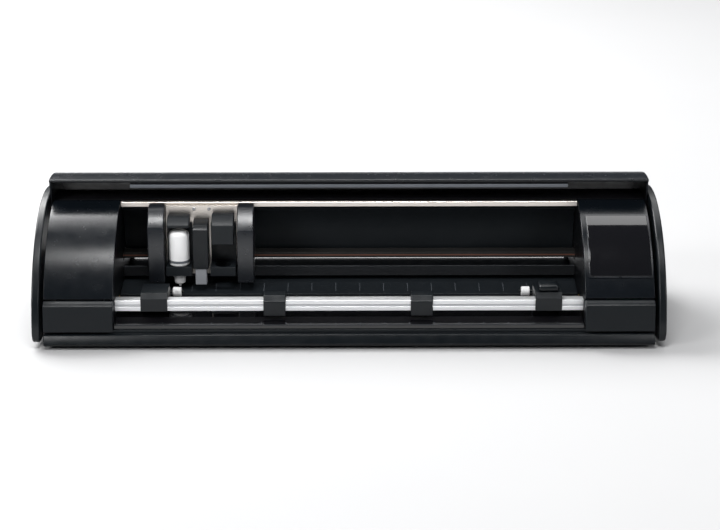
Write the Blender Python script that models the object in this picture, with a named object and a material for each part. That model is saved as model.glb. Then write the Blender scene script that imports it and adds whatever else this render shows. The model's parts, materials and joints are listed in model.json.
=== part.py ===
"""Desktop vinyl cutter with its curved lid open: casing, media path, tool carriage, drives and roll drawer.

X runs along the machine's width, +Y to the back, +Z up. The origin is on the ground, midway between the ends.
"""

import math

import bmesh
import bpy

MM = 0.001
GAP = 0.3 * MM

# Driving dimensions
HALF_WIDTH = 325 * MM
CAP_THICK = 8 * MM
CAP_INNER = HALF_WIDTH - CAP_THICK
COVER_OUTER = 313.5 * MM
OPENING_HALF = 242 * MM
FRAME_THICK = 3 * MM

FRONT_Y = -85 * MM
BACK_Y = 95 * MM
LEDGE_Z = 45 * MM
BASE_BOTTOM = 4 * MM
DRAWER_TOP = 15.5 * MM
FLOOR_Z = 17 * MM

# The casing's section is an arc about one centre line
ARC_Y = 41 * MM
ARC_Z = -4 * MM
CAP_RADIUS = 135.5 * MM
COVER_RADIUS = 130 * MM
SHELL_THICK = 2.5 * MM
COVER_FOOT_DEG = 155.5
COVER_TOP_DEG = 97.0
TOP_COVER_END_DEG = 74.0
TOP_COVER_DROP = 5 * MM
TAIL_Z = 109 * MM

# The lid's own arc, and the pivot that carries it back over the top
LID_RADIUS = 135.2 * MM
LID_THICK = 3.2 * MM
LID_HALF_WIDTH = 316.2 * MM
LID_FOOT_DEG = 157.0
LID_TOP_DEG = 98.5
LID_TRAVEL_DEG = 63.0
PIVOT_Y = 48.4 * MM
PIVOT_Z = 18.7 * MM

# Media path: a platform that rises gently to the back
PATH_FRONT_Y = -83 * MM
PATH_FRONT_Z = 24 * MM
PATH_SLOPE = math.tan(math.radians(8))
SHAFT_Y = -23 * MM
SHAFT_RADIUS = 6 * MM
SHAFT_Z = 27.2 * MM
PINCH_RADIUS = 5 * MM
PINCH_Z = SHAFT_Z + SHAFT_RADIUS + PINCH_RADIUS + GAP + 0.4 * MM

# Roller bar and what rides on it
BAR_LOW = (-68 * MM, 33.5 * MM)
BAR_HIGH = (-56 * MM, 45 * MM)
HOLDER_LEFT_X = -201 * MM
HOLDER_RIGHT_X = 205.4 * MM
GUIDE_X = (-77 * MM, 74.7 * MM)
KNOB_Y = -55.7 * MM
HOLDER_HALF = 13.7 * MM
GUIDE_HALF = 11.4 * MM

# Carriage
CARRIAGE_X = -156 * MM
CARRIAGE_HALF = 55.5 * MM
CHEEK_WIDTH = 17.5 * MM
RAIL_LOW = (18 * MM, 119.3 * MM)
RAIL_HIGH = (23.5 * MM, 124.8 * MM)
TOOL_LEFT_X = -179.5 * MM
TOOL_RIGHT_X = -133 * MM
TOOL_Y = -0.7 * MM
SOCKET_RADIUS = 8.7 * MM

# Carriage belt, in a horizontal loop behind the carriage
BELT_X = 262 * MM
BELT_Y = 36 * MM
BELT_Z = 62 * MM
BELT_PULLEY_RADIUS = 6 * MM

# Rollers in the roll drawer
FEED_ROLLER_Y = {"front": -55 * MM, "rear": -20 * MM}
FEED_ROLLER_Z = 10.3 * MM

# Feed drive, inside the left casing
FEED_X = -254 * MM
FEED_MOTOR_YZ = (14 * MM, 44 * MM)
SHAFT_PULLEY_RADIUS = 6.95 * MM
FEED_PULLEY_RADIUS = 5 * MM

BLACK = (0.010, 0.011, 0.013)
DARK = (0.030, 0.033, 0.038)
STEEL = (0.55, 0.56, 0.58)
BRIGHT = (0.80, 0.81, 0.83)
CREAM = (0.78, 0.72, 0.66)
WHITE = (0.85, 0.85, 0.85)
GREEN = (0.02, 0.16, 0.07)
BRASS = (0.70, 0.52, 0.25)
SMOOTH_DEG = 35


def clear_scene():
    for obj in list(bpy.data.objects):
        bpy.data.objects.remove(obj, do_unlink=True)


def paint(obj, colour, roughness, metallic):
    material = bpy.data.materials.new(obj.name)
    material.use_nodes = True
    shader = material.node_tree.nodes["Principled BSDF"]
    shader.inputs["Base Color"].default_value = (*colour, 1)
    shader.inputs["Roughness"].default_value = roughness
    shader.inputs["Metallic"].default_value = metallic
    obj.data.materials.append(material)


def mesh_object(name, bm):
    bmesh.ops.recalc_face_normals(bm, faces=bm.faces)
    mesh = bpy.data.meshes.new(name)
    bm.to_mesh(mesh)
    bm.free()
    obj = bpy.data.objects.new(name, mesh)
    bpy.context.scene.collection.objects.link(obj)
    return obj


def finish(obj, colour, roughness, metallic, smooth=False):
    paint(obj, colour, roughness, metallic)
    if smooth:
        obj.data.shade_smooth()
        obj.data.set_sharp_from_angle(angle=math.radians(SMOOTH_DEG))
    return obj


def plastic(obj, colour=BLACK, roughness=0.3, smooth=False):
    return finish(obj, colour, roughness, 0, smooth)


def metal(obj, colour=STEEL, roughness=0.35, smooth=False):
    return finish(obj, colour, roughness, 1, smooth)


def add_block(bm, low, high):
    corners = [
        bm.verts.new((x, y, z))
        for x in (low[0], high[0])
        for y in (low[1], high[1])
        for z in (low[2], high[2])
    ]
    for a, b, c, d in ((0, 1, 3, 2), (4, 6, 7, 5), (0, 4, 5, 1), (2, 3, 7, 6), (0, 2, 6, 4), (1, 5, 7, 3)):
        bm.faces.new((corners[a], corners[b], corners[c], corners[d]))


def block(name, low, high):
    bm = bmesh.new()
    add_block(bm, low, high)
    return mesh_object(name, bm)


def prism(name, outline, low, high, axis="X"):
    """A closed outline, extruded along an axis. The outline's pairs are (y, z), (x, z) or (x, y)."""
    place = {
        "X": lambda a, b, t: (t, a, b),
        "Y": lambda a, b, t: (a, t, b),
        "Z": lambda a, b, t: (a, b, t),
    }[axis]
    bm = bmesh.new()
    start = [bm.verts.new(place(a, b, low)) for a, b in outline]
    end = [bm.verts.new(place(a, b, high)) for a, b in outline]
    bm.faces.new(start)
    bm.faces.new(end[::-1])
    count = len(outline)
    for i in range(count):
        j = (i + 1) % count
        bm.faces.new((start[i], end[i], end[j], start[j]))
    return mesh_object(name, bm)


def circle(radius, centre, sides):
    turn = 2 * math.pi / sides
    return [(centre[0] + radius * math.cos(i * turn), centre[1] + radius * math.sin(i * turn))
            for i in range(sides)]


def rod(name, axis, centre, radius, low, high, sides=20):
    """A round bar along an axis, centred on a pair of coordinates across it."""
    return prism(name, circle(radius, centre, sides), low, high, axis)


def turned(name, profile, centre, sides=24):
    """A body of revolution about +Z. The profile is (radius, z) pairs upward, on the axis at both ends."""
    bm = bmesh.new()
    rings = []
    for radius, z in profile[1:-1]:
        ring = [bm.verts.new((centre[0] + x, centre[1] + y, z)) for x, y in circle(radius, (0, 0), sides)]
        rings.append(ring)
    bottom = bm.verts.new((*centre, profile[0][1]))
    top = bm.verts.new((*centre, profile[-1][1]))
    for i in range(sides):
        j = (i + 1) % sides
        bm.faces.new((bottom, rings[0][j], rings[0][i]))
        bm.faces.new((top, rings[-1][i], rings[-1][j]))
        for lower, upper in zip(rings, rings[1:]):
            bm.faces.new((lower[i], lower[j], upper[j], upper[i]))
    return mesh_object(name, bm)


def combine(obj, other, operation):
    modifier = obj.modifiers.new(operation.title(), "BOOLEAN")
    modifier.operation = operation
    modifier.solver = "EXACT"
    modifier.object = other
    other.hide_render = True
    other.display_type = "WIRE"
    return obj


def cut(obj, *cutters):
    for cutter in cutters:
        combine(obj, cutter, "DIFFERENCE")
    return obj


def join(obj, *others):
    for other in others:
        combine(obj, other, "UNION")
    return obj


def bevel(obj, width, segments=2, angle=40):
    modifier = obj.modifiers.new("Bevel", "BEVEL")
    modifier.width = width
    modifier.segments = segments
    modifier.limit_method = "ANGLE"
    modifier.angle_limit = math.radians(angle)
    return obj


def arc(radius, start_deg, end_deg, steps):
    """Points (y, z) on the casing's arc."""
    span = [math.radians(start_deg + (end_deg - start_deg) * i / steps) for i in range(steps + 1)]
    return [(ARC_Y + radius * math.cos(a), ARC_Z + radius * math.sin(a)) for a in span]


def arc_band(outer, thick, start_deg, end_deg, steps):
    return arc(outer, start_deg, end_deg, steps) + arc(outer - thick, end_deg, start_deg, steps)


def path_z(y):
    """Height of the media platform's surface."""
    return PATH_FRONT_Z + (y - PATH_FRONT_Y) * PATH_SLOPE


def mirrored(side, low, high):
    """A span of X on the right side, or its mirror image on the left."""
    return (low, high) if side > 0 else (-high, -low)


SIDES = (("left", -1), ("right", 1))

# The section above is drawn about the casing; the finished part's origin is midway in its depth, lid open
DEPTH_CENTRE = 20.62 * MM


# ---------------------------------------------------------------- casing
def cap_outline():
    """End cap seen from the side: the arc over the top, a leaning front and a rounded toe."""
    top = arc(CAP_RADIUS, COVER_FOOT_DEG + 2, TOP_COVER_END_DEG, 20)
    back = [(BACK_Y + 3 * MM, TAIL_Z + 3 * MM), (BACK_Y + 3 * MM, 10 * MM),
            (BACK_Y - 4 * MM, BASE_BOTTOM + 1 * MM)]
    toe = [(FRONT_Y + 6 * MM, BASE_BOTTOM + 1 * MM), (FRONT_Y - 3 * MM, BASE_BOTTOM + 4 * MM),
           (FRONT_Y - 6.5 * MM, BASE_BOTTOM + 12 * MM), (FRONT_Y - 4.5 * MM, 30 * MM)]
    return top + back + toe


def make_end_caps():
    for name, side in SIDES:
        low, high = mirrored(side, CAP_INNER, HALF_WIDTH)
        cap = prism(f"{name}_end_cap", cap_outline(), low, high)
        low, high = mirrored(side, CAP_INNER - 1 * MM, CAP_INNER + 5 * MM)
        hole = rod(f"{name}_pivot_hole", "X", (PIVOT_Y, PIVOT_Z), 4.4 * MM, low, high, 16)
        plastic(bevel(cut(cap, hole), 1.6 * MM, 2, 50), roughness=0.25, smooth=True)


def make_side_covers():
    for name, side in SIDES:
        low, high = mirrored(side, OPENING_HALF, COVER_OUTER)
        shell = arc_band(COVER_RADIUS, SHELL_THICK, COVER_FOOT_DEG, COVER_TOP_DEG, 16)
        cover = prism(f"{name}_side_cover", shell, low, high)
        # A return flange stiffens the skin beside the frame
        edge = OPENING_HALF + FRAME_THICK + GAP
        low, high = mirrored(side, edge, edge + 2 * MM)
        flange = arc_band(COVER_RADIUS - 1 * MM, 8 * MM, COVER_FOOT_DEG - 1, COVER_TOP_DEG + 1, 12)
        plastic(join(cover, prism(f"{name}_cover_flange", flange, low, high)), roughness=0.18, smooth=True)


def make_lower_panels():
    """The panel under each side cover, with the sloping ledge that the closed lid rests on."""
    foot_y, foot_z = arc(COVER_RADIUS, COVER_FOOT_DEG + 0.6, 0, 1)[0]
    outline = [
        (FRONT_Y, LEDGE_Z),
        (foot_y, foot_z),
        (foot_y + 6 * MM, foot_z - 3 * MM),
        (FRONT_Y + 4 * MM, LEDGE_Z - 5 * MM),
        (FRONT_Y, DRAWER_TOP + 4 * MM),
        (FRONT_Y, DRAWER_TOP + 2.5 * MM),
        (FRONT_Y - 4.5 * MM, DRAWER_TOP + 2.5 * MM),
    ]
    for name, side in SIDES:
        low, high = mirrored(side, OPENING_HALF, COVER_OUTER)
        panel = prism(f"{name}_lower_panel", outline, low, high)
        plastic(bevel(panel, 0.6 * MM, 1, 30), roughness=0.28)


def make_touch_panel():
    """Curved glossy control panel, set on the right cover and proud of it by about a millimetre."""
    shell = arc_band(COVER_RADIUS + GAP + 1.1 * MM, 1.1 * MM, 146, 111.5, 12)
    panel = prism("touch_panel", shell, OPENING_HALF + 4.5 * MM, COVER_OUTER - 1.5 * MM)
    plastic(panel, roughness=0.06, smooth=True)


def make_side_frames():
    """Steel plates on each side of the media path, which carry the bar, shaft, rail and platform."""
    outline = arc(COVER_RADIUS - SHELL_THICK - GAP, COVER_FOOT_DEG - 4.5, COVER_TOP_DEG + 1, 12)
    outline += arc(CAP_RADIUS - TOP_COVER_DROP - SHELL_THICK - 1 * MM, COVER_TOP_DEG - 1, TOP_COVER_END_DEG, 5)
    outline += [(BACK_Y - 6 * MM, TAIL_Z - 3 * MM), (BACK_Y - 6 * MM, FLOOR_Z + 3.5 * MM)]
    outline += [(FRONT_Y + 5 * MM, FLOOR_Z + 3.5 * MM), (FRONT_Y + 5 * MM, 36 * MM),
                (FRONT_Y + 15.5 * MM, 43.5 * MM), (FRONT_Y + 15.5 * MM, 56 * MM)]
    for name, side in SIDES:
        low, high = mirrored(side, OPENING_HALF, OPENING_HALF + FRAME_THICK)
        frame = prism(f"{name}_side_frame", outline, low, high)
        low, high = mirrored(side, OPENING_HALF - 1 * MM, OPENING_HALF + FRAME_THICK + 1 * MM)
        bush = rod(f"{name}_bush_hole", "X", (SHAFT_Y, SHAFT_Z), SHAFT_RADIUS + 2.3 * MM, low, high, 24)
        belt = block(f"{name}_belt_window", (low, BELT_Y - 11 * MM, BELT_Z - 6 * MM),
                     (high, BELT_Y + 11 * MM, BELT_Z + 6 * MM))
        metal(cut(frame, bush, belt), DARK, 0.45)


def make_rear_cover():
    low_x, high_x = -COVER_OUTER, COVER_OUTER
    wall = [(BACK_Y - 2.5 * MM, FLOOR_Z), (BACK_Y, FLOOR_Z), (BACK_Y, TAIL_Z - GAP), (BACK_Y - 2.5 * MM, TAIL_Z - GAP)]
    cover = prism("rear_cover", wall, low_x, high_x)
    before, behind = BACK_Y - 5 * MM, BACK_Y + 5 * MM
    exit_slot = block("media_exit_slot", (-238 * MM, before, 36.5 * MM), (238 * MM, behind, 44 * MM))
    inlet = block("inlet_cut", (271.7 * MM, before, 25.7 * MM), (284.3 * MM, behind, 38.3 * MM))
    usb = block("usb_cut", (292.7 * MM, before, 24.7 * MM), (305.3 * MM, behind, 37.3 * MM))
    vents = []
    for i in range(8):
        x = (-299 + i * 6) * MM
        vents.append(block(f"vent_{i}", (x, before, 50 * MM), (x + 3 * MM, behind, 85 * MM)))
    plastic(cut(cover, exit_slot, inlet, usb, *vents), roughness=0.4)


def make_top_cover():
    outer = CAP_RADIUS - TOP_COVER_DROP
    tail = [(BACK_Y, TAIL_Z + 2 * MM), (BACK_Y, TAIL_Z), (BACK_Y - 4 * MM, TAIL_Z)]
    shell = arc(outer, COVER_TOP_DEG - 0.6, TOP_COVER_END_DEG, 8) + tail
    shell += arc(outer - SHELL_THICK, TOP_COVER_END_DEG, COVER_TOP_DEG - 0.6, 8)
    plastic(prism("top_cover", shell, -COVER_OUTER, COVER_OUTER), roughness=0.3, smooth=True)


def make_base():
    """Floor with side rails that leave a bay for the roll drawer, and a back bar."""
    bm = bmesh.new()
    front, back = FRONT_Y + 1 * MM, BACK_Y - 3 * MM
    add_block(bm, (-COVER_OUTER, front, FLOOR_Z - 1 * MM), (COVER_OUTER, back, FLOOR_Z + 2 * MM))
    base = mesh_object("base_chassis", bm)
    for name, side in SIDES:
        low, high = mirrored(side, 296 * MM, COVER_OUTER)
        join(base, block(f"{name}_base_rail", (low, front, BASE_BOTTOM), (high, back, FLOOR_Z)))
    bar = block("base_back", (-300 * MM, back - 6 * MM, BASE_BOTTOM), (300 * MM, back, FLOOR_Z))
    plastic(join(base, bar), DARK, 0.5)


def make_feet():
    for y, end in ((FRONT_Y + 14 * MM, "front"), (BACK_Y - 16 * MM, "rear")):
        for name, side in SIDES:
            centre = (side * 304.5 * MM, y)
            top = BASE_BOTTOM - GAP
            foot = turned(f"foot_{end}_{name}", [(0, 0), (6.5 * MM, 0), (7.5 * MM, top), (0, top)], centre, 20)
            plastic(foot, DARK, 0.8, smooth=True)


# ---------------------------------------------------------------- lid
def about_pivot(y, z, degrees):
    turn = math.radians(degrees)
    dy, dz = y - PIVOT_Y, z - PIVOT_Z
    return (PIVOT_Y + dy * math.cos(turn) - dz * math.sin(turn),
            PIVOT_Z + dy * math.sin(turn) + dz * math.cos(turn))


def opened(outline):
    """The lid at rest is swung back from its closed place."""
    return [about_pivot(y, z, -LID_TRAVEL_DEG) for y, z in outline]


def make_lid():
    shell = arc_band(LID_RADIUS, LID_THICK, LID_FOOT_DEG, LID_TOP_DEG, 18)
    lid = prism("lid", opened(shell), -LID_HALF_WIDTH, LID_HALF_WIDTH)
    plastic(lid, roughness=0.2, smooth=True)
    for name, side in SIDES:
        low, high = mirrored(side, COVER_OUTER + 0.7 * MM, LID_HALF_WIDTH - 0.2 * MM)
        rim = arc(LID_RADIUS - LID_THICK - GAP, LID_FOOT_DEG - 1, LID_TOP_DEG + 1, 12)
        hub = [(PIVOT_Y + 9 * MM * math.cos(a), PIVOT_Z + 9 * MM * math.sin(a))
               for a in (math.radians(25 - 26 * i) for i in range(6))]
        arm = prism(f"lid_arm_{name}", opened(rim + hub), low, high)
        low, high = mirrored(side, COVER_OUTER + 1 * MM, CAP_INNER + 3 * MM)
        join(arm, rod(f"lid_pin_{name}", "X", (PIVOT_Y, PIVOT_Z), 4 * MM, low, high, 16))
        metal(arm, DARK, 0.4)


# ---------------------------------------------------------------- media path
def make_platform():
    """Sloping table from the front lip to the drive shaft, then the cutting strip behind the shaft."""
    edge = SHAFT_Y - SHAFT_RADIUS - 1.5 * MM
    outline = [
        (PATH_FRONT_Y, PATH_FRONT_Z),
        (edge, path_z(edge)),
        (edge, path_z(edge) - 3 * MM),
        (PATH_FRONT_Y + 4 * MM, PATH_FRONT_Z - 3 * MM),
        (PATH_FRONT_Y + 4 * MM, FLOOR_Z + 2.3 * MM),
        (PATH_FRONT_Y, FLOOR_Z + 2.3 * MM),
    ]
    platform = prism("front_platform", outline, -OPENING_HALF + GAP, OPENING_HALF - GAP)
    plastic(bevel(platform, 0.5 * MM, 1, 60), roughness=0.08)
    start, end, rear = SHAFT_Y + SHAFT_RADIUS + 1.5 * MM, 12 * MM, BACK_Y - 2.8 * MM
    foot_z, level = FLOOR_Z + 2.3 * MM, path_z(end)
    outline = [
        (start, path_z(start)), (end, level), (rear, level), (rear, foot_z), (rear - 2.7 * MM, foot_z),
        (rear - 2.7 * MM, level - 3 * MM), (end + 3 * MM, level - 4 * MM), (end + 3 * MM, foot_z),
        (end, foot_z), (end, level - 4 * MM), (start, path_z(start) - 4 * MM),
    ]
    strip = prism("cutting_platen", outline, -OPENING_HALF + GAP, OPENING_HALF - GAP)
    plastic(strip, DARK, 0.5)


def make_bar():
    """Aluminium bar with a groove along its front face."""
    (low_y, low_z), (high_y, high_z) = BAR_LOW, BAR_HIGH
    middle, depth = (low_z + high_z) / 2, 1.5 * MM
    outline = [(low_y, low_z), (high_y, low_z), (high_y, high_z), (low_y, high_z), (low_y, middle + 1.2 * MM),
               (low_y + depth, middle + 1.2 * MM), (low_y + depth, middle - 1.2 * MM), (low_y, middle - 1.2 * MM)]
    bar = prism("roller_bar", outline, -OPENING_HALF + GAP, OPENING_HALF - GAP)
    metal(bar, BRIGHT, 0.25)


def make_rails():
    bm = bmesh.new()
    ends = OPENING_HALF - GAP
    add_block(bm, (-ends, *RAIL_LOW), (ends, *RAIL_HIGH))
    metal(bevel(mesh_object("carriage_rail", bm), 0.5 * MM, 1), CREAM, 0.3)
    beam = [(19 * MM, 42 * MM), (31 * MM, 42 * MM), (31 * MM, 44.5 * MM),
            (22 * MM, 44.5 * MM), (22 * MM, 53 * MM), (19 * MM, 53 * MM)]
    metal(prism("guide_beam", beam, -ends, ends), DARK, 0.3)
    wall = [(46 * MM, 64 * MM), (48.5 * MM, 64 * MM), (47.5 * MM, 85 * MM), (43.5 * MM, 104 * MM),
            (35.5 * MM, 114 * MM), (34 * MM, 112 * MM), (41 * MM, 103 * MM), (45 * MM, 85 * MM)]
    plastic(prism("back_wall", wall, -ends, ends), DARK, 0.35, smooth=True)


# ---------------------------------------------------------------- pinch rollers and bar riders
def saddle(name, x, half, back_y, top_z, foot_z):
    """A block that hooks over the roller bar from the front, with a clear channel for the bar."""
    (low_y, low_z), (high_y, high_z) = BAR_LOW, BAR_HIGH
    clear, wall = GAP, 3.6 * MM
    front = low_y - wall
    outline = [
        (front, foot_z), (low_y - clear, foot_z), (low_y - clear, high_z + clear), (high_y + clear, high_z + clear),
        (high_y + clear, low_z + 1 * MM), (back_y, low_z + 4 * MM), (back_y, top_z - 2 * MM),
        (back_y - 3 * MM, top_z), (low_y + 3 * MM, top_z), (front, top_z - 4.5 * MM),
    ]
    return prism(name, outline, x - half, x + half)


def make_pinch_holders():
    top = BAR_HIGH[1] + 7.5 * MM
    for name, side, x in (("left", 1, HOLDER_LEFT_X), ("right", -1, HOLDER_RIGHT_X)):
        holder = saddle(f"pinch_holder_{name}", x, HOLDER_HALF, SHAFT_Y - 10 * MM, top, BAR_LOW[1] + 1 * MM)
        # An ear beside the roller reaches back over the drive shaft
        face = x + side * HOLDER_HALF
        span = sorted((face - side * 7 * MM, face - side * 3 * MM))
        ear = block(f"ear_{name}", (span[0], SHAFT_Y - 14 * MM, 39 * MM), (span[1], SHAFT_Y + 4.5 * MM, 46 * MM))
        low = sorted((face - side * 6.5 * MM, face + side * 13 * MM))
        axle = rod(f"axle_{name}", "X", (SHAFT_Y, PINCH_Z), 1.6 * MM, *low, 12)
        plastic(join(holder, ear, axle), roughness=0.35)
        span = sorted((face + side * 2 * MM, face + side * 11 * MM))
        roller = rod(f"pinch_roller_{name}", "X", (SHAFT_Y, PINCH_Z), PINCH_RADIUS, *span, 24)
        bore = rod(f"roller_bore_{name}", "X", (SHAFT_Y, PINCH_Z), 2.0 * MM,
                   span[0] - 1 * MM, span[1] + 1 * MM, 12)
        plastic(cut(roller, bore), WHITE, 0.5, smooth=True)
    # Rounded square knob that clamps the adjustable holder to the bar
    half, middle = 10.3 * MM, KNOB_Y
    knob = block("pinch_knob", (HOLDER_RIGHT_X - half, middle - half, top + GAP),
                 (HOLDER_RIGHT_X + half, middle + half, top + 7 * MM))
    plastic(bevel(knob, 2.5 * MM, 2), roughness=0.1, smooth=True)


def make_bar_guides():
    for i, x in enumerate(GUIDE_X):
        guide = saddle(f"bar_guide_{i + 1}", x, GUIDE_HALF, BAR_HIGH[0] + 7 * MM, BAR_HIGH[1] + 4.5 * MM, 29 * MM)
        plastic(guide, roughness=0.3)


# ---------------------------------------------------------------- carriage and tools
def cheek_outline(crown):
    """Side plate of the carriage: a flat front, then a crown of sloping facets."""
    return [
        (-12 * MM, 44.5 * MM), (13 * MM, 44.5 * MM), (15 * MM, 54 * MM), (15 * MM, 124 * MM),
        *crown, (-14 * MM, 80 * MM),
    ]


def make_carriage():
    inner = CARRIAGE_HALF - CHEEK_WIDTH
    left_crown = [(7 * MM, 123 * MM), (0, 119 * MM), (-4 * MM, 115 * MM), (-13 * MM, 106 * MM)]
    right_crown = [(7 * MM, 122.8 * MM), (3 * MM, 120.5 * MM), (-14 * MM, 102.5 * MM)]
    for name, side, crown in (("left", -1, left_crown), ("right", 1, right_crown)):
        low, high = sorted((CARRIAGE_X + side * (inner + GAP), CARRIAGE_X + side * CARRIAGE_HALF))
        cheek = prism(f"carriage_cheek_{name}", cheek_outline(crown), low, high)
        plastic(bevel(cheek, 0.8 * MM, 1, 25), roughness=0.25)
    low, high = CARRIAGE_X - inner, CARRIAGE_X + inner
    plate = block("carriage_body", (low, 14 * MM, 56 * MM), (high, 17 * MM, 122 * MM))
    under = block("rail_tongue", (low + 4 * MM, 15 * MM, 116 * MM), (high - 4 * MM, 26 * MM, 118.8 * MM))
    behind = block("rail_hook", (low + 4 * MM, 24 * MM, 117 * MM), (high - 4 * MM, 26 * MM, 121.5 * MM))
    clamp = block("belt_clamp", (CARRIAGE_X - 12 * MM, 16 * MM, BELT_Z - 4 * MM),
                  (CARRIAGE_X + 12 * MM, BELT_Y - BELT_PULLEY_RADIUS - 1.5 * MM, BELT_Z + 4 * MM))
    skid = block("beam_skid", (low + 4 * MM, 15 * MM, 46 * MM), (high - 4 * MM, 18.5 * MM, 57 * MM))
    metal(join(plate, under, behind, clamp, skid), CREAM, 0.4)
    middle = (TOOL_LEFT_X + TOOL_RIGHT_X) / 2
    column = prism("centre_column", [(-12 * MM, 60 * MM), (13.7 * MM, 60 * MM), (13.7 * MM, 109 * MM),
                                     (-6 * MM, 107 * MM), (-12 * MM, 103 * MM)], middle - 8 * MM, middle + 8 * MM)
    plastic(bevel(column, 0.6 * MM, 1, 25), roughness=0.25)
    sensor = block("mark_sensor", (middle - 6 * MM, -11 * MM, 42 * MM), (middle + 6 * MM, -1 * MM, 60 * MM - GAP))
    plastic(bevel(sensor, 0.8 * MM, 1), (0.12, 0.12, 0.12), 0.4)


def make_tools():
    """Two tool clamps that travel up and down, each with a lock lever; the left one holds a white blade tool."""
    for name, x in (("left", TOOL_LEFT_X), ("right", TOOL_RIGHT_X)):
        half = 13.4 * MM
        clamp = block(f"tool_clamp_{name}", (x - half, -11.5 * MM, 52 * MM), (x + half, 13.4 * MM, 62 * MM))
        back = block(f"clamp_back_{name}", (x - half, 12.6 * MM - 2 * MM, 60 * MM), (x + half, 13.4 * MM, 104 * MM))
        socket = rod(f"socket_{name}", "Z", (x, TOOL_Y), SOCKET_RADIUS, 45 * MM, 70 * MM, 24)
        plastic(cut(join(clamp, back), socket), DARK, 0.35)
    profile = [
        (0, 38 * MM), (1.2 * MM, 38 * MM), (1.6 * MM, 40.5 * MM), (5.8 * MM, 42 * MM), (6.2 * MM, 48 * MM),
        (8.4 * MM, 50 * MM), (8.4 * MM, 62.5 * MM), (10.9 * MM, 63 * MM), (10.9 * MM, 96 * MM),
        (9.4 * MM, 99.5 * MM), (0, 99.5 * MM),
    ]
    plastic(turned("blade_tool", profile, (TOOL_LEFT_X, TOOL_Y)), WHITE, 0.35, smooth=True)
    heights = {"left": (TOOL_LEFT_X, 104.6 * MM, 114 * MM), "right": (TOOL_RIGHT_X, 86 * MM, 115.5 * MM)}
    for name, (x, low_z, high_z) in heights.items():
        taper = 2 * MM if name == "right" else 0
        outline = [(-10 * MM, low_z), (-1 * MM, low_z), (12 * MM, high_z - 6 * MM), (12 * MM, high_z),
                   (1 * MM + taper, high_z), (-10 * MM, high_z - 6 * MM - taper)]
        lever = prism(f"lock_lever_{name}", outline, x - 11.7 * MM, x + 11.7 * MM)
        plastic(bevel(lever, 0.7 * MM, 1, 25), DARK, 0.35)


# ---------------------------------------------------------------- drives
def make_feed_drive():
    shaft = rod("grit_shaft", "X", (SHAFT_Y, SHAFT_Z), SHAFT_RADIUS - 0.1 * MM,
                FEED_X - 4 * MM, OPENING_HALF + 12 * MM, 24)
    metal(shaft, STEEL, 0.6, smooth=True)
    for name, side in SIDES:
        low, high = mirrored(side, OPENING_HALF - 0.1 * MM, OPENING_HALF + FRAME_THICK + 2 * MM)
        bush = rod(f"shaft_bush_{name}", "X", (SHAFT_Y, SHAFT_Z), SHAFT_RADIUS + 1.9 * MM, low, high, 24)
        hole = rod(f"bush_bore_{name}", "X", (SHAFT_Y, SHAFT_Z), SHAFT_RADIUS + 0.3 * MM,
                   low - 1 * MM, high + 1 * MM, 24)
        metal(cut(bush, hole), BRASS, 0.4, smooth=True)
    pulley = rod("shaft_pulley", "X", (SHAFT_Y, SHAFT_Z), SHAFT_PULLEY_RADIUS, FEED_X - 4 * MM, FEED_X + 4 * MM, 28)
    bore = rod("pulley_bore", "X", (SHAFT_Y, SHAFT_Z), SHAFT_RADIUS + 0.2 * MM, FEED_X - 5 * MM, FEED_X + 5 * MM, 24)
    metal(cut(pulley, bore), BRIGHT, 0.4, smooth=True)
    motor_y, motor_z = FEED_MOTOR_YZ
    body = rod("feed_motor", "X", (motor_y, motor_z), 15 * MM, FEED_X - 42 * MM, FEED_X - 9 * MM, 24)
    shaft = rod("feed_motor_shaft", "X", (motor_y, motor_z), 1.5 * MM, FEED_X - 12 * MM, FEED_X + 4 * MM, 12)
    metal(join(body, shaft), STEEL, 0.4, smooth=True)
    pulley = rod("motor_pulley", "X", (motor_y, motor_z), FEED_PULLEY_RADIUS, FEED_X - 4 * MM, FEED_X + 4 * MM, 20)
    bore = rod("motor_pulley_bore", "X", (motor_y, motor_z), 1.8 * MM, FEED_X - 5 * MM, FEED_X + 5 * MM, 12)
    metal(cut(pulley, bore), BRASS, 0.4, smooth=True)
    belt = belt_loop("feed_belt", (SHAFT_Y, SHAFT_Z), SHAFT_PULLEY_RADIUS + GAP, (motor_y, motor_z),
                     FEED_PULLEY_RADIUS + GAP, 0.7 * MM, FEED_X - 3 * MM, FEED_X + 3 * MM, "X")
    plastic(belt, DARK, 0.7, smooth=True)


def belt_outline(first, first_radius, second, second_radius, steps=10):
    """Outer line of an open belt round two pulleys."""
    dx, dy = second[0] - first[0], second[1] - first[1]
    heading = math.atan2(dy, dx)
    lean = math.acos((first_radius - second_radius) / math.hypot(dx, dy))
    points = []
    for i in range(steps + 1):
        a = heading + lean + (2 * math.pi - 2 * lean) * i / steps
        points.append((first[0] + first_radius * math.cos(a), first[1] + first_radius * math.sin(a)))
    for i in range(steps + 1):
        a = heading - lean + 2 * lean * i / steps
        points.append((second[0] + second_radius * math.cos(a), second[1] + second_radius * math.sin(a)))
    return points


def belt_loop(name, first, first_radius, second, second_radius, thick, low, high, axis):
    outer = belt_outline(first, first_radius + thick, second, second_radius + thick)
    inner = belt_outline(first, first_radius, second, second_radius)
    belt = prism(name, outer, low, high, axis)
    return cut(belt, prism(f"{name}_inside", inner, low - 1 * MM, high + 1 * MM, axis))


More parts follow.
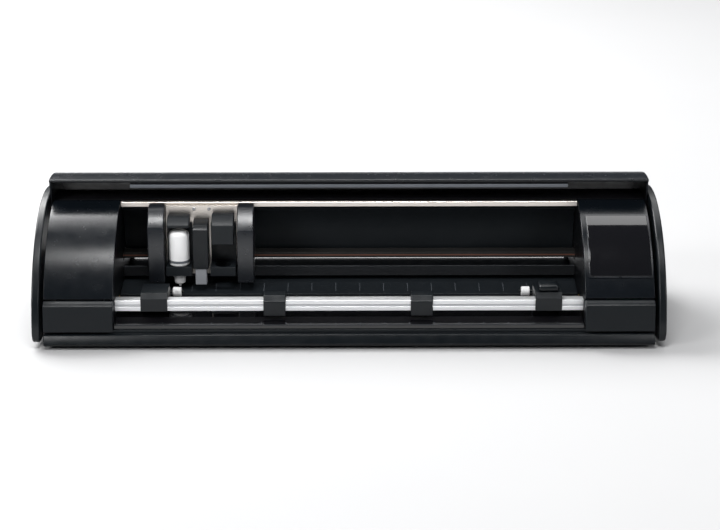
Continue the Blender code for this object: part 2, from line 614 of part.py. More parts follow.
def make_carriage_drive():
    ends = ((-BELT_X, BELT_Y), (BELT_X, BELT_Y))
    belt = belt_loop("carriage_belt", ends[0], BELT_PULLEY_RADIUS + GAP, ends[1], BELT_PULLEY_RADIUS + GAP,
                     0.9 * MM, BELT_Z - 3 * MM, BELT_Z + 3 * MM, "Z")
    plastic(belt, (0.05, 0.02, 0.015), 0.7, smooth=True)
    for name, centre in zip(("carriage_pulley", "idler_pulley"), ends):
        pulley = rod(name, "Z", centre, BELT_PULLEY_RADIUS, BELT_Z - 4 * MM, BELT_Z + 4 * MM, 20)
        bore = rod(f"{name}_bore", "Z", centre, 2 * MM, BELT_Z - 5 * MM, BELT_Z + 5 * MM, 12)
        metal(cut(pulley, bore), BRIGHT, 0.4, smooth=True)
    body = rod("carriage_motor", "Z", ends[0], 14 * MM, BELT_Z + 8 * MM, BELT_Z + 40 * MM, 24)
    shaft = rod("carriage_motor_shaft", "Z", ends[0], 1.7 * MM, BELT_Z - 4 * MM, BELT_Z + 10 * MM, 12)
    metal(join(body, shaft), STEEL, 0.4, smooth=True)
    bracket = block("idler_bracket", (OPENING_HALF + FRAME_THICK + 1 * MM, BELT_Y - 9 * MM, FLOOR_Z + 2.3 * MM),
                    (BELT_X + 9 * MM, BELT_Y + 9 * MM, BELT_Z - 8 * MM))
    pin = rod("idler_pin", "Z", ends[1], 1.7 * MM, BELT_Z - 10 * MM, BELT_Z + 5 * MM, 12)
    metal(join(bracket, pin), STEEL, 0.45)


def make_electronics():
    inlet = block("power_inlet", (272 * MM, 80 * MM, 26 * MM), (284 * MM, BACK_Y, 38 * MM))
    jack = rod("jack_hole", "Y", (278 * MM, 32 * MM), 3.6 * MM, 84 * MM, BACK_Y + 1 * MM, 20)
    plastic(cut(inlet, jack), DARK, 0.5)
    board = block("main_board", (273 * MM, -52 * MM, 24 * MM), (311 * MM, 79 * MM, 25.6 * MM))
    usb = block("usb_socket", (293 * MM, 77 * MM, 25 * MM), (305 * MM, BACK_Y, 37 * MM))
    port = block("usb_hole", (295 * MM, 86 * MM, 28 * MM), (303 * MM, BACK_Y + 1 * MM, 35 * MM))
    plastic(cut(join(board, usb), port), GREEN, 0.5)


# ---------------------------------------------------------------- roll drawer
def make_roll_drawer():
    """Tray that slides out at the bottom front, with two rollers that cradle a roll of film."""
    front_outline = [
        (FRONT_Y - 5 * MM, DRAWER_TOP), (FRONT_Y - 9 * MM, BASE_BOTTOM + 2.5 * MM),
        (FRONT_Y - 7 * MM, BASE_BOTTOM), (FRONT_Y - 1 * MM, BASE_BOTTOM), (FRONT_Y - 1 * MM, DRAWER_TOP),
    ]
    front = prism("drawer_front", front_outline, -COVER_OUTER, COVER_OUTER)
    plastic(bevel(front, 1 * MM, 2, 40), roughness=0.28, smooth=True)
    half, front_y, back_y = 295 * MM, FRONT_Y - 0.7 * MM, BACK_Y - 12 * MM
    tray = block("roll_drawer", (-half, front_y, BASE_BOTTOM + 0.5 * MM), (half, back_y, FLOOR_Z - 1.4 * MM))
    bay = block("tray_bay", (-half + 3 * MM, front_y + 3 * MM, BASE_BOTTOM + 2.5 * MM),
                (half - 3 * MM, back_y - 3 * MM, FLOOR_Z + 1 * MM))
    holes = [rod(f"roller_seat_{name}", "X", (y, FEED_ROLLER_Z), 1.6 * MM, -half + 1 * MM, half - 1 * MM, 12)
             for name, y in FEED_ROLLER_Y.items()]
    plastic(cut(tray, bay, *holes), DARK, 0.5)
    for name, y in FEED_ROLLER_Y.items():
        roller = rod(f"feed_roller_{name}", "X", (y, FEED_ROLLER_Z), 3.6 * MM, -half + 4 * MM, half - 4 * MM, 20)
        pin = rod(f"feed_pin_{name}", "X", (y, FEED_ROLLER_Z), 1.3 * MM, -half + 1.5 * MM, half - 1.5 * MM, 12)
        metal(join(roller, pin), STEEL, 0.4, smooth=True)


# ---------------------------------------------------------------- placing and joint centres
def centre_in_depth():
    for obj in bpy.data.objects:
        obj.location.y -= DEPTH_CENTRE
    bpy.context.view_layer.update()


def hang(name, place, children):
    """An empty on a joint's axis, as the parent of the pieces that move about it."""
    empty = bpy.data.objects.new(name, None)
    empty.location = (place[0], place[1] - DEPTH_CENTRE, place[2])
    bpy.context.scene.collection.objects.link(empty)
    bpy.context.view_layer.update()
    for child in children:
        piece = bpy.data.objects[child]
        piece.parent = empty
        piece.matrix_parent_inverse = empty.matrix_world.inverted()
    return empty


def make_joints():
    hang("lid_axis", (0, PIVOT_Y, PIVOT_Z), ["lid", "lid_arm_left", "lid_arm_right"])
    carriage = hang("carriage_axis", (CARRIAGE_X, *RAIL_LOW),
                    ["carriage_body", "carriage_cheek_left", "carriage_cheek_right", "centre_column", "mark_sensor"])
    for name, x, held in (("left", TOOL_LEFT_X, ["blade_tool"]), ("right", TOOL_RIGHT_X, [])):
        tool = hang(f"tool_axis_{name}", (x, TOOL_Y, 60 * MM), [f"tool_clamp_{name}", f"lock_lever_{name}", *held])
        tool.parent = carriage
        tool.matrix_parent_inverse = carriage.matrix_world.inverted()
    hang("shaft_axis", (0, SHAFT_Y, SHAFT_Z), ["grit_shaft", "shaft_pulley"])
    hang("motor_axis", (FEED_X, *FEED_MOTOR_YZ), ["motor_pulley"])
    hang("carriage_pulley_axis", (-BELT_X, BELT_Y, BELT_Z), ["carriage_pulley"])
    hang("idler_axis", (BELT_X, BELT_Y, BELT_Z), ["idler_pulley"])
    hang("pinch_axis_left", (HOLDER_LEFT_X, SHAFT_Y, PINCH_Z), ["pinch_roller_left"])
    hang("pinch_axis_right", (HOLDER_RIGHT_X, SHAFT_Y, PINCH_Z), ["pinch_roller_right", "pinch_holder_right"])
    hang("knob_axis", (HOLDER_RIGHT_X, KNOB_Y, BAR_HIGH[1]), ["pinch_knob"])
    for i, x in enumerate(GUIDE_X):
        hang(f"guide_axis_{i + 1}", (x, *BAR_LOW), [f"bar_guide_{i + 1}"])
    hang("drawer_axis", (0, FRONT_Y, BASE_BOTTOM), ["drawer_front", "roll_drawer"])
    for name, y in FEED_ROLLER_Y.items():
        hang(f"feed_roller_axis_{name}", (0, y, FEED_ROLLER_Z), [f"feed_roller_{name}"])


def main():
    clear_scene()
    for make in (
        make_end_caps, make_side_covers, make_lower_panels, make_touch_panel, make_side_frames,
        make_rear_cover, make_top_cover, make_base, make_feet, make_lid,
        make_platform, make_bar, make_rails, make_pinch_holders, make_bar_guides,
        make_carriage, make_tools, make_feed_drive, make_carriage_drive, make_electronics, make_roll_drawer,
        centre_in_depth, make_joints,
    ):
        make()


main()
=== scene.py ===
import json
import math

import bmesh
import bpy
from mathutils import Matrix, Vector


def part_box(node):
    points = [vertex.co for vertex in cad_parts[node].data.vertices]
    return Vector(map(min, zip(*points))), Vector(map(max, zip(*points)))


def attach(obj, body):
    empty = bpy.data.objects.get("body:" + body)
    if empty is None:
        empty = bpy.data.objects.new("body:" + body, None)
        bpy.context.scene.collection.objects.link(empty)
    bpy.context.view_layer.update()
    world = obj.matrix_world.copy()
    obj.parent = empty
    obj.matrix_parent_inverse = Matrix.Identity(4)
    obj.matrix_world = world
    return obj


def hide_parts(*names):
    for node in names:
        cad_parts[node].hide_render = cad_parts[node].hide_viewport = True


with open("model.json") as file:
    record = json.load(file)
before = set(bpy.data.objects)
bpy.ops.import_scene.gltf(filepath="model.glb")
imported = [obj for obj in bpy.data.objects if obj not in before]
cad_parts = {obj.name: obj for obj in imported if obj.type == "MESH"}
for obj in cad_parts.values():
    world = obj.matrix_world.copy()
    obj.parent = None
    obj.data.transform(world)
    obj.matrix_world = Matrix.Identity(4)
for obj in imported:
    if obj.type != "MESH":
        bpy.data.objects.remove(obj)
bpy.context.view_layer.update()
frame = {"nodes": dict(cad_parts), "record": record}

MM = 0.001
NODES = frame["nodes"]
BODY_OF = {node: body for body, members in frame["record"]["behaviour"]["bodies"].items() for node in members}
SLOT_OF = {row["node"]: row["material_slot"] for row in frame["record"]["subparts"]}
SIDES = ("left", "right")
INCH = 25.4 * MM

# The side view, as (y, z), is measured from a datum line this far in front of the frame's origin
DATUM = -20.62 * MM
PIVOT = (DATUM + 48.4 * MM, 18.7 * MM)
ARC = (DATUM + 41 * MM, -4 * MM)

# The curved shells share the centre ARC. Each span runs from front to back, in degrees turned up from +Y
CAP_RADIUS = 135.5 * MM
CAP_SPAN = (157.5, 74.0)
COVER_RADIUS = 130 * MM
COVER_SPAN = (155.5, 97.0)
TOP_RADIUS = 130.5 * MM
TOP_SPAN = (96.4, 74.0)
SHELL_THICK = 2.5 * MM
LID_RADIUS = 135.2 * MM
LID_SPAN = (157.0, 98.5)
LID_THICK = 3.2 * MM
LID_TRAVEL = 63.0
GRIP_HALF = 231 * MM

# The platform and the platen behind it slope up to the back
PLATFORM_EDGE_Z = 24 * MM
PLATFORM_SLOPE = math.tan(math.radians(8))

# Edges that turn by more than this are sharp, and get the bevel
SHARP_ANGLE = math.radians(32)
WELD_DISTANCE = 1e-6
FLAT_ANGLE = math.radians(0.5)


def low(name):
    """The corner of a CAD piece's box with the smallest x, y and z."""
    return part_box(name)[0]


def high(name):
    """The corner of a CAD piece's box with the largest x, y and z."""
    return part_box(name)[1]


# ---------------------------------------------------------------- materials
def new_material(name):
    material = bpy.data.materials.new(name)
    material.use_nodes = True
    tree = material.node_tree
    return material, tree, tree.nodes["Principled BSDF"]


def node(tree, kind, **values):
    """Adds a shader node. Values set its properties or else its inputs, with _ for a space."""
    made = tree.nodes.new(kind)
    for key, value in values.items():
        if hasattr(made, key):
            setattr(made, key, value)
        else:
            made.inputs[key.replace("_", " ")].default_value = value
    return made


def noise(tree, scale, detail=3.0, stretch=None):
    """Noise in object space; stretch scales each axis, so that (0.02, 1, 1) draws it out along X."""
    coordinates = tree.nodes.new("ShaderNodeTexCoord")
    texture = node(tree, "ShaderNodeTexNoise", Scale=scale, Detail=detail)
    if stretch:
        mapping = tree.nodes.new("ShaderNodeMapping")
        mapping.inputs["Scale"].default_value = stretch
        tree.links.new(coordinates.outputs["Object"], mapping.inputs["Vector"])
        tree.links.new(mapping.outputs["Vector"], texture.inputs["Vector"])
    else:
        tree.links.new(coordinates.outputs["Object"], texture.inputs["Vector"])
    return texture.outputs["Fac"]


def spread(tree, factor, start, end):
    """Maps the middle of the noise, where most of its values lie, onto the range from start to end."""
    mapped = node(tree, "ShaderNodeMapRange", From_Min=0.3, From_Max=0.7, To_Min=start, To_Max=end)
    tree.links.new(factor, mapped.inputs["Value"])
    return mapped.outputs["Result"]


def tint(tree, factor, first, second):
    """Mixes two colours by a noise value."""
    mix = node(tree, "ShaderNodeMix", data_type="RGBA")
    mix.inputs["A"].default_value = (*first, 1)
    mix.inputs["B"].default_value = (*second, 1)
    tree.links.new(factor, mix.inputs["Factor"])
    return mix.outputs["Result"]


def bump(tree, shader, factor, depth):
    made = node(tree, "ShaderNodeBump", Strength=1.0, Distance=depth)
    tree.links.new(factor, made.inputs["Height"])
    tree.links.new(made.outputs["Normal"], shader.inputs["Normal"])


def plastic(name, dark, light, rough, grain=2600.0, depth=0.00002, coat=0.0, specular=0.4):
    """Two close shades, uneven gloss between the two values of rough, and a fine moulded grain."""
    material, tree, shader = new_material(name)
    tree.links.new(tint(tree, noise(tree, 18.0), dark, light), shader.inputs["Base Color"])
    tree.links.new(spread(tree, noise(tree, 90.0, 5.0), *rough), shader.inputs["Roughness"])
    shader.inputs["Specular IOR Level"].default_value = specular
    shader.inputs["Coat Weight"].default_value = coat
    shader.inputs["Coat Roughness"].default_value = 0.05
    bump(tree, shader, noise(tree, grain, 2.0), depth)
    return material


def metal(name, dark, light, rough, stretch=(0.02, 1, 1), grain=1800.0, depth=0.000015):
    """Brushed along X by default: the same streaks drive the shade, the gloss and the relief."""
    material, tree, shader = new_material(name)
    streaks = noise(tree, grain, 3.0, stretch)
    tree.links.new(tint(tree, streaks, dark, light), shader.inputs["Base Color"])
    tree.links.new(spread(tree, streaks, *rough), shader.inputs["Roughness"])
    shader.inputs["Metallic"].default_value = 1
    bump(tree, shader, streaks, depth)
    return material


def board_green(name):
    """Solder mask over faint copper tracks."""
    material, tree, shader = new_material(name)
    tracks = node(tree, "ShaderNodeTexBrick", Scale=120.0)
    tracks.inputs["Color1"].default_value = (0.01, 0.11, 0.04, 1)
    tracks.inputs["Color2"].default_value = (0.015, 0.15, 0.06, 1)
    tracks.inputs["Mortar"].default_value = (0.04, 0.22, 0.08, 1)
    coordinates = tree.nodes.new("ShaderNodeTexCoord")
    tree.links.new(coordinates.outputs["Object"], tracks.inputs["Vector"])
    tree.links.new(tracks.outputs["Color"], shader.inputs["Base Color"])
    tree.links.new(spread(tree, noise(tree, 200.0), 0.3, 0.5), shader.inputs["Roughness"])
    return material


MATERIALS = {
    "casing_black": plastic("casing_black", (0.003, 0.0045, 0.006), (0.005, 0.007, 0.009), (0.28, 0.38),
                            specular=0.32),
    "cover_black": plastic("cover_black", (0.002, 0.0035, 0.005), (0.004, 0.0055, 0.008), (0.22, 0.28),
                           depth=0.000006),
    "shade_black": plastic("shade_black", (0.004, 0.004, 0.005), (0.007, 0.007, 0.009), (0.5, 0.65),
                           specular=0.15),
    "piano_black": plastic("piano_black", (0.003, 0.003, 0.004), (0.005, 0.005, 0.006), (0.04, 0.08),
                           depth=0.000002, coat=0.6, specular=0.5),
    "cheek_grey": plastic("cheek_grey", (0.008, 0.010, 0.013), (0.013, 0.015, 0.019), (0.26, 0.34),
                          specular=0.7),
    "dark_plastic": plastic("dark_plastic", (0.006, 0.008, 0.010), (0.011, 0.014, 0.017), (0.38, 0.5),
                            specular=0.3),
    "white_plastic": plastic("white_plastic", (0.84, 0.84, 0.84), (0.90, 0.90, 0.90), (0.3, 0.42)),
    "rubber_black": plastic("rubber_black", (0.010, 0.010, 0.010), (0.018, 0.017, 0.016), (0.7, 0.9),
                            depth=0.00005),
    "belt_brown": plastic("belt_brown", (0.08, 0.03, 0.02), (0.13, 0.05, 0.03), (0.55, 0.75), depth=0.00005),
    "board_green": board_green("board_green"),
    "dark_steel": metal("dark_steel", (0.020, 0.022, 0.026), (0.034, 0.037, 0.043), (0.34, 0.46)),
    "beam_grey": metal("beam_grey", (0.04, 0.043, 0.047), (0.07, 0.074, 0.08), (0.45, 0.6)),
    "bright_aluminium": metal("bright_aluminium", (0.86, 0.87, 0.88), (0.95, 0.96, 0.97), (0.38, 0.5)),
    "cream_steel": metal("cream_steel", (0.80, 0.74, 0.68), (0.90, 0.85, 0.79), (0.32, 0.45)),
    "steel": metal("steel", (0.45, 0.46, 0.48), (0.62, 0.63, 0.65), (0.3, 0.45)),
    "brass": metal("brass", (0.62, 0.45, 0.2), (0.75, 0.58, 0.3), (0.35, 0.5),
                   stretch=(1, 1, 1), grain=900.0),
    "grit": plastic("grit", (0.10, 0.10, 0.10), (0.22, 0.22, 0.22), (0.6, 0.9), grain=1400.0, depth=0.0003),
    "mark_grey": plastic("mark_grey", (0.08, 0.09, 0.10), (0.13, 0.14, 0.16), (0.4, 0.6)),
    "sensor_grey": plastic("sensor_grey", (0.22, 0.23, 0.25), (0.30, 0.31, 0.33), (0.35, 0.5)),
}


# ---------------------------------------------------------------- mesh tools
def place(obj, body, slot, material=None, bevel=0.0, segments=2):
    """Gives a piece its material (the slot's own unless another is named), its rounded edges and its body."""
    obj.data.materials.clear()
    obj.data.materials.append(MATERIALS[material or slot])
    obj.data.shade_smooth()
    obj.data.set_sharp_from_angle(angle=SHARP_ANGLE)
    if bevel:
        modifier = obj.modifiers.new("edge", "BEVEL")
        modifier.width = bevel
        modifier.segments = segments
        modifier.limit_method = "ANGLE"
        modifier.angle_limit = SHARP_ANGLE
        modifier.harden_normals = True
    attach(obj, body)


def from_bmesh(name, bm):
    bmesh.ops.recalc_face_normals(bm, faces=bm.faces)
    mesh = bpy.data.meshes.new(name)
    bm.to_mesh(mesh)
    bm.free()
    obj = bpy.data.objects.new(name, mesh)
    bpy.context.scene.collection.objects.link(obj)
    return obj


def add_prism(bm, outline, start, end, axis=0):
    """Extrudes a closed outline of pairs along an axis: (y, z) along X, (x, z) along Y or (x, y) along Z."""
    def point(a, b, t):
        values = [a, b]
        values.insert(axis, t)
        return values
    first = [bm.verts.new(point(a, b, start)) for a, b in outline]
    last = [bm.verts.new(point(a, b, end)) for a, b in outline]
    bm.faces.new(first)
    bm.faces.new(last[::-1])
    for i in range(len(outline)):
        j = (i + 1) % len(outline)
        bm.faces.new((first[i], last[i], last[j], first[j]))


def prism(name, outline, start, end, axis=0):
    bm = bmesh.new()
    add_prism(bm, outline, start, end, axis)
    return from_bmesh(name, bm)


def rectangle(lower, upper):
    return [(lower[0], lower[1]), (upper[0], lower[1]), (upper[0], upper[1]), (lower[0], upper[1])]


def arc(radius, start, end, steps):
    """Points about the shells' centre, as (y, z)."""
    angles = [math.radians(start + (end - start) * i / steps) for i in range(steps + 1)]
    return [(ARC[0] + radius * math.cos(a), ARC[1] + radius * math.sin(a)) for a in angles]


def band(outer, thick, start, end, steps=56):
    """The section of a curved shell."""
    return arc(outer, start, end, steps) + arc(outer - thick, end, start, steps)


def turned(name, profile, centre, axis=2, sides=48):
    """A body of revolution. profile holds (radius, height along the axis), and both ends are closed flat."""
    bm = bmesh.new()

    def point(radius, angle, t):
        values = [centre[0] + radius * math.cos(angle), centre[1] + radius * math.sin(angle)]
        values.insert(axis, t)
        return values
    rings = [[bm.verts.new(point(r, 2 * math.pi * i / sides, t)) for i in range(sides)] for r, t in profile]
    bm.faces.new(rings[0])
    bm.faces.new(rings[-1])
    for one, two in zip(rings, rings[1:]):
        for i in range(sides):
            j = (i + 1) % sides
            bm.faces.new((one[i], one[j], two[j], two[i]))
    return from_bmesh(name, bm)


def refined(name, bevel, material=None):
    """The CAD piece with its seams welded, flat faces made whole, rounded edges and smooth round faces."""
    bm = bmesh.new()
    bm.from_mesh(NODES[name].data)
    bmesh.ops.remove_doubles(bm, verts=bm.verts, dist=WELD_DISTANCE)
    bmesh.ops.dissolve_limit(bm, angle_limit=FLAT_ANGLE, verts=bm.verts, edges=bm.edges)
    obj = from_bmesh(f"{name}_piece", bm)
    place(obj, BODY_OF[name], SLOT_OF[name], material, bevel)
    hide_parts(name)


# ---------------------------------------------------------------- casing
def make_covers():
    for side in SIDES:
        cad_name = f"{side}_side_cover"
        section = band(COVER_RADIUS, SHELL_THICK, *COVER_SPAN)
        cover = prism(f"{side}_cover_skin", section, low(cad_name)[0], high(cad_name)[0])
        place(cover, BODY_OF[cad_name], "cover_black", bevel=0.0006)
        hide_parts(cad_name)
        refined(f"{side}_lower_panel", 0.0007)
        refined(f"{side}_side_frame", 0.0004)


def cap_outline():
    """The end cap's side view: a fine arc over the top, then the back, the base and the leaning front.
    The two lower corners are in millimetres from the back or the front, and from the base."""
    (_, front, base), (_, back, _) = low("left_end_cap"), high("left_end_cap")
    shoulder = 112 * MM
    rear_corner = [(0, 5), (-2, 1.5), (-7, 0)]
    front_corner = [(12.5, 0), (6.5, 1.2), (2.5, 4), (0, 11), (2, 25)]
    outline = arc(CAP_RADIUS, *CAP_SPAN, 60) + [(back, shoulder)]
    outline += [(back + y * MM, base + z * MM) for y, z in rear_corner]
    outline += [(front + y * MM, base + z * MM) for y, z in front_corner]
    return outline


def make_end_caps():
    for side in SIDES:
        cad_name = f"{side}_end_cap"
        cap = prism(f"{side}_cap_skin", cap_outline(), low(cad_name)[0], high(cad_name)[0])
        place(cap, BODY_OF[cad_name], "casing_black", bevel=0.0018, segments=4)
        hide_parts(cad_name)


def make_top():
    """The top cover is a curved shell whose back edge turns down to the rear cover."""
    (x0, _, foot), (x1, rear, _) = low("top_cover"), high("top_cover")
    tail = [(rear, foot + 2 * MM), (rear, foot), (rear - 4 * MM, foot)]
    front_angle, back_angle = TOP_SPAN
    section = arc(TOP_RADIUS, front_angle, back_angle, 28) + tail
    section += arc(TOP_RADIUS - SHELL_THICK, back_angle, front_angle, 28)
    cover = prism("top_cover_skin", section, x0, x1)
    place(cover, BODY_OF["top_cover"], "cover_black", "shade_black", 0.0005)
    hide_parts("top_cover")
    refined("rear_cover", 0.0005)
    for name in ("base_chassis", "power_inlet", "main_board"):
        refined(name, 0.0003)


def opened(outline):
    """An outline of the closed lid, swung back about the pivot to the lid's place at rest."""
    turn = math.radians(-LID_TRAVEL)
    cos, sin = math.cos(turn), math.sin(turn)
    moved = []
    for y, z in outline:
        dy, dz = y - PIVOT[0], z - PIVOT[1]
        moved.append((PIVOT[0] + dy * cos - dz * sin, PIVOT[1] + dy * sin + dz * cos))
    return moved


def make_lid():
    """The curved shell, its dull lining of painted shade, and inside the front edge the grip, a lip on a dark
    web.
    """
    half = high("lid")[0]
    start, end = LID_SPAN
    shell = prism("lid_skin", opened(band(LID_RADIUS, LID_THICK, start, end)), -half, half)
    place(shell, "lid", "cover_black", bevel=0.0012, segments=3)
    inner, inset = LID_RADIUS - 3.1 * MM, 0.4 * MM
    grip_end = start - 2.4
    # The lining is a thin dull black sheet just inside the shell: painted shade that keeps the lid's inner
    # face dark
    shade_sheet = opened(band(inner, 0.35 * MM, start - 2.5, end + 0.3))
    place(prism("lid_shade_sheet", shade_sheet, -half + inset, half - inset), "lid", "cover_black", "shade_black")
    web = opened(band(inner, 2.6 * MM, start - 0.9, grip_end, 4))
    place(prism("lid_web", web, -GRIP_HALF, GRIP_HALF), "lid", "cover_black", "shade_black")
    lip = opened(band(LID_RADIUS - 5.6 * MM, 3.6 * MM, start - 0.1, grip_end, 4))
    place(prism("lid_grip", lip, -GRIP_HALF, GRIP_HALF), "lid", "cover_black", "mark_grey", 0.0008)
    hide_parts("lid")
    for side in SIDES:
        refined(f"lid_arm_{side}", 0.0002)


def make_touch_panel():
    """Curved glass that stands proud of the right cover, in a thin rim of four strips."""
    x0, x1 = low("touch_panel")[0], high("touch_panel")[0]
    outer = COVER_RADIUS + 1.4 * MM
    glass = prism("touch_glass", band(outer, 1.1 * MM, 145.4, 112.1), x0 + 1.2 * MM, x1 - 1.2 * MM)
    place(glass, "casing", "piano_black", bevel=0.0005, segments=3)
    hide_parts("touch_panel")
    rim = bmesh.new()
    rim_outer, rim_thick, rim_width = outer - 0.2 * MM, 0.8 * MM, 1 * MM
    for start, end in ((146.0, 145.55), (111.95, 111.5)):
        add_prism(rim, band(rim_outer, rim_thick, start, end, 2), x0, x1)
    for edge in (x0, x1 - rim_width):
        add_prism(rim, band(rim_outer, rim_thick, 145.5, 112.0), edge, edge + rim_width)
    place(from_bmesh("touch_rim", rim), "casing", "casing_black", "cheek_grey")


# ---------------------------------------------------------------- media path
def on_platform(y):
    """The height of the platform's sloping top at a place along the depth."""
    return PLATFORM_EDGE_Z + (y - low("front_platform")[1]) * PLATFORM_SLOPE


def make_bar_groove():
    """A strip of darker steel along the groove in the roller bar's front: painted shade in the groove."""
    (left, front, bottom), (right, _, top) = low("roller_bar"), high("roller_bar")
    middle, half_height = (bottom + top) / 2, 1.15 * MM
    section = rectangle((front + 0.5 * MM, middle - half_height), (front + 1.4 * MM, middle + half_height))
    # The steel strip is painted shade: it darkens the groove in the bright bar
    place(prism("groove_shade_strip", section, left, right), "casing", "bright_aluminium", "steel")


def make_front_rule():
    """A light trim on the platform's front edge, broken once an inch."""
    (left, front, _), (right, _, _) = low("front_platform"), high("front_platform")
    bottom, top = PLATFORM_EDGE_Z - 0.9 * MM, PLATFORM_EDGE_Z + 0.2 * MM
    section = rectangle((front - 0.4 * MM, bottom), (front + 0.6 * MM, top))
    gap = 0.7 * MM
    count = int((right - left) / INCH)
    edges = [left] + [(i - count / 2) * INCH for i in range(count + 1)] + [right]
    rule = bmesh.new()
    for one, two in zip(edges, edges[1:]):
        if two - one > 2 * gap:
            add_prism(rule, section, one + gap / 2, two - gap / 2)
    place(from_bmesh("front_rule", rule), "casing", "bright_aluminium", "beam_grey")


def make_inch_marks():
    """Two rows of marks, one on the platen behind the bar and a short one at the platform's front edge."""
    sunk, proud = 0.3 * MM, 0.12 * MM
    half_width, half_span, shift = 0.2 * MM, 238 * MM, 11.1 * MM
    marks = bmesh.new()
    for first, last in ((DATUM - 9.2 * MM, DATUM + 8.8 * MM), (DATUM - 81.2 * MM, DATUM - 77.8 * MM)):
        z0, z1 = on_platform(first), on_platform(last)
        section = [(first, z0 - sunk), (last, z1 - sunk), (last, z1 + proud), (first, z0 + proud)]
        for i in range(-8, 9):
            x = i * INCH + shift
            if abs(x) < half_span:
                add_prism(marks, section, x - half_width, x + half_width)
    place(from_bmesh("inch_marks", marks), "casing", "dark_plastic", "mark_grey")


def make_path():
    for name, bevel in (("front_platform", 0.0005), ("cutting_platen", 0.0004), ("carriage_rail", 0.0006),
                        ("back_wall", 0.0005), ("roller_bar", 0.0006)):
        refined(name, bevel)
    refined("guide_beam", 0.0004, "beam_grey")
    make_bar_groove()
    make_front_rule()
    make_inch_marks()


def make_pinch_roller(name):
    """A white roller with chamfered ends and three fine grooves."""
    (x0, front, bottom), (x1, back, top) = low(name), high(name)
    bore, radius, edge = 2.0 * MM, (back - front) / 2, 0.8 * MM
    groove, groove_pitch, first_groove = 0.3 * MM, 2.0, 2.2
    profile = [(bore, x0), (radius - edge, x0), (radius, x0 + edge)]
    for i in range(3):
        x = x0 + (first_groove + groove_pitch * i) * MM
        profile += [(radius, x), (radius - groove, x + groove), (radius, x + 0.6 * MM)]
    profile += [(radius, x1 - edge), (radius - edge, x1), (bore, x1)]
    piece = turned(f"{name}_piece", profile, ((front + back) / 2, (bottom + top) / 2), axis=0)
    place(piece, BODY_OF[name], "white_plastic")
    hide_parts(name)


def make_pinch_parts():
    for name in ("pinch_holder_left", "pinch_holder_right", "bar_guide_1", "bar_guide_2"):
        refined(name, 0.0009)
    refined("pinch_knob", 0.0002, "casing_black")
    for side in SIDES:
        make_pinch_roller(f"pinch_roller_{side}")


# ---------------------------------------------------------------- carriage
def make_blade_tool():
    """A white barrel on a stepped neck, with a grey collar low on the barrel."""
    lower, upper = low("blade_tool"), high("blade_tool")
    centre = ((lower[0] + upper[0]) / 2, (lower[1] + upper[1]) / 2)
    base = lower[2]

    def section(rings, lift=0.0):
        """Rings are (radius, height) in millimetres above the blade's tip."""
        return [(radius * MM, base + (height + lift) * MM) for radius, height in rings]
    tip = [(0.5, 0), (1.2, 0.2), (1.6, 2.5), (4.6, 3.4), (5.8, 4.4), (6.2, 10)]
    neck = [(8.2, 12), (8.4, 12.4), (8.4, 24.4)]
    barrel = [(10.4, 25), (10.9, 25.8), (10.9, 27), (10.6, 27.4), (10.6, 28.2), (10.9, 28.6), (10.9, 56.5)]
    crown = [(10.5, 58.5), (9.2, 60.4), (7.3, 61.4), (0.5, 61.5)]
    tool = turned("blade_tool_piece", section(tip + neck + barrel + crown), centre)
    place(tool, "tool_left", "white_plastic")
    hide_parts("blade_tool")
    ring = [(10.2, 26), (11.15, 26.2), (11.15, 28.8), (10.2, 29)]
    collar = turned("blade_collar", section(ring, lift=1.5), centre)
    place(collar, "tool_left", "dark_plastic", "mark_grey")


def make_carriage_screws():
    """A thumb screw on the left cheek, and two pan heads with a dimple in the crown on the body's front."""
    side = low("carriage_cheek_left")[0]
    profile = [(3.4 * MM, side + 0.2 * MM), (3.4 * MM, side - 1.2 * MM), (2.8 * MM, side - 1.8 * MM)]
    knob = turned("carriage_side_screw", profile, (DATUM + 6.2 * MM, 80 * MM), axis=0, sides=28)
    place(knob, "carriage", "steel")
    left, front, _ = low("carriage_body")
    radius, head = 1.8 * MM, 1.1 * MM
    pan_head = [(1, 0), (1, 0.55), (0.8, 0.9), (0.45, 1), (0.4, 0.5)]
    profile = [(radius * r, front - head * h) for r, h in pan_head]
    for i, offset in enumerate((30 * MM, 46 * MM)):
        screw = turned(f"carriage_screw_{i}", profile, (left + offset, 118.5 * MM), axis=1, sides=24)
        place(screw, "carriage", "steel")


def make_carriage():
    for name in ("carriage_body", "tool_clamp_left", "tool_clamp_right"):
        refined(name, 0.0004)
    for side in SIDES:
        refined(f"carriage_cheek_{side}", 0.0009, "cheek_grey")
    for name in ("centre_column", "lock_lever_left", "lock_lever_right"):
        refined(name, 0.0009)
    refined("mark_sensor", 0.0006, "sensor_grey")
    make_blade_tool()
    make_carriage_screws()


# ---------------------------------------------------------------- drives and drawer
def make_drives():
    for name in ("feed_motor", "carriage_motor", "idler_bracket", "shaft_bush_left", "shaft_bush_right",
                 "shaft_pulley", "motor_pulley", "carriage_pulley", "idler_pulley"):
        refined(name, 0.0002)
    refined("grit_shaft", 0.0003, "grit")
    for name in ("feed_belt", "carriage_belt"):
        refined(name, 0.0)
    # The belt's woven back shows as a thin brown line along the front run, which ends short of the pulleys
    (left, front, bottom), (right, _, top) = low("carriage_belt"), high("carriage_belt")
    middle, half_height, pulley_reach = (bottom + top) / 2, 0.7 * MM, 9 * MM
    section = rectangle((front - 0.1 * MM, middle - half_height), (front + 0.05 * MM, middle + half_height))
    line = prism("belt_line", section, left + pulley_reach, right - pulley_reach)
    place(line, "casing", "rubber_black", "belt_brown")


def make_drawer():
    refined("drawer_front", 0.0006)
    for name in ("roll_drawer", "feed_roller_front", "feed_roller_rear"):
        refined(name, 0.0003)
    for end in ("front", "rear"):
        for side in SIDES:
            refined(f"foot_{end}_{side}", 0.0005)


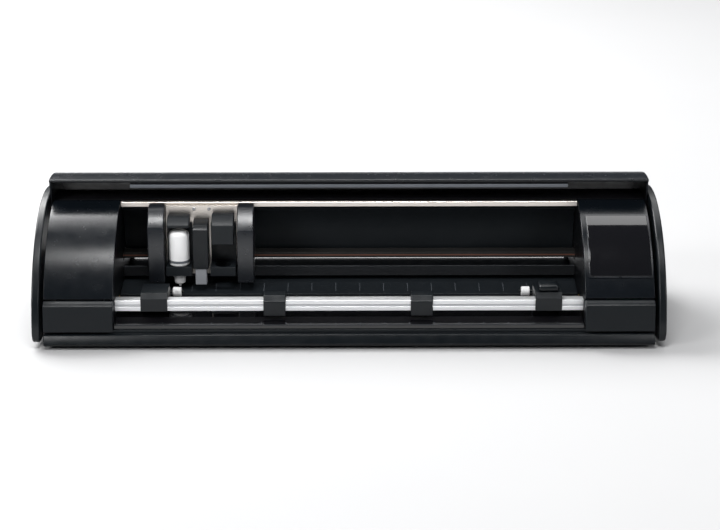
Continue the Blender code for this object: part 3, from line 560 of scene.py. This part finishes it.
# ---------------------------------------------------------------- setting
def make_floor():
    """A wide matt floor that the lights bring to nearly white, as behind the object in the photo."""
    floor = prism("floor", rectangle((-9, -9), (9, 9)), -0.02, 0.0, axis=2)
    material, tree, shader = new_material("pale_floor")
    shade = tint(tree, noise(tree, 3.0), (0.41, 0.41, 0.413), (0.43, 0.43, 0.433))
    tree.links.new(shade, shader.inputs["Base Color"])
    shader.inputs["Roughness"].default_value = 0.9
    shader.inputs["Specular IOR Level"].default_value = 0.1
    floor.data.materials.append(material)


def make_world():
    world = bpy.data.worlds.new("studio")
    bpy.context.scene.world = world
    world.use_nodes = True
    background = world.node_tree.nodes["Background"]
    background.inputs["Color"].default_value = (0.82, 0.88, 1.0, 1)
    background.inputs["Strength"].default_value = 0.07
    bpy.context.scene.view_settings.view_transform = "Standard"


def area(name, position, target, width, depth, power):
    """A rectangular lamp turned to face its target, in metres and watts."""
    lamp = bpy.data.lights.new(name, "AREA")
    lamp.shape = "RECTANGLE"
    lamp.size, lamp.size_y, lamp.energy = width, depth, power
    obj = bpy.data.objects.new(name, lamp)
    obj.location = position
    obj.rotation_euler = (Vector(target) - Vector(position)).to_track_quat("-Z", "Y").to_euler()
    bpy.context.scene.collection.objects.link(obj)


def make_setting():
    make_floor()
    make_world()
    area("overhead", (0, 1.6, 2.3), (0, 0.3, 0), 4.6, 2.1, 80)
    area("behind_left", (-1.5, 1.6, 2.1), (-0.3, 0.1, 0.1), 2.0, 1.7, 150)
    area("above_path", (-0.05, -0.8, 2.2), (-0.05, 0, 0.1), 0.9, 0.4, 34)
    area("front_left", (-2.4, -1.9, 1.8), (0, 0, 0.05), 1.2, 1.0, 55)
    area("front_right", (2.6, -1.9, 1.6), (0, 0, 0.05), 1.2, 1.0, 28)


def make_camera():
    """Looks down at the ledge between the side covers, which stands a little left and low in the picture."""
    distance = 2.0
    focal, sensor = 97.9, 36
    elevation, pitch_up, yaw = (math.radians(angle) for angle in (20, 1.2, -0.333))
    ledge_y, ledge_z = low("left_lower_panel")[1] + 4.4 * MM, high("left_lower_panel")[2] - 3.4 * MM
    away = Vector((0, -math.cos(elevation), math.sin(elevation)))
    lens = bpy.data.cameras.new("camera")
    lens.lens, lens.sensor_width = focal, sensor
    lens.clip_start, lens.clip_end = 0.05, 50
    camera = bpy.data.objects.new("camera", lens)
    camera.location = Vector((0, ledge_y, ledge_z)) + away * distance
    camera.rotation_euler = (math.pi / 2 - elevation + pitch_up, 0, yaw)
    bpy.context.scene.collection.objects.link(camera)
    bpy.context.scene.camera = camera


make_camera()
make_covers()
make_end_caps()
make_top()
make_lid()
make_touch_panel()
make_path()
make_pinch_parts()
make_carriage()
make_drives()
make_drawer()
make_setting()
